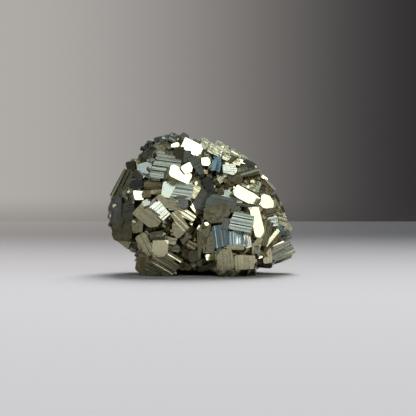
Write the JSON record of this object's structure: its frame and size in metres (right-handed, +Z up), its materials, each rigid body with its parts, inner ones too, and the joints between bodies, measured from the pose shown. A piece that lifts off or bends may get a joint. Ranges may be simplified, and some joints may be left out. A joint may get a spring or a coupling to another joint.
{
  "type": "pyrite specimen",
  "caption": "Small lump of intergrown cubic metallic crystals with stepped faces and cut corners, standing on a few crystal ends.",
  "frame": {"origin": "on the surface the specimen stands on, under the middle of its bounding box", "axes": "+X along its width, its longest way; +Y towards its back; +Z up"},
  "size_m": [0.0453, 0.0357, 0.0342],
  "materials": {
    "pyrite": "natural crystal faces with a brassy metallic lustre; the mineral pyrite, not the alloy"
  },
  "bodies": {
    "root": {"pyrite_cluster": "pyrite"}
  },
  "joints": []
}
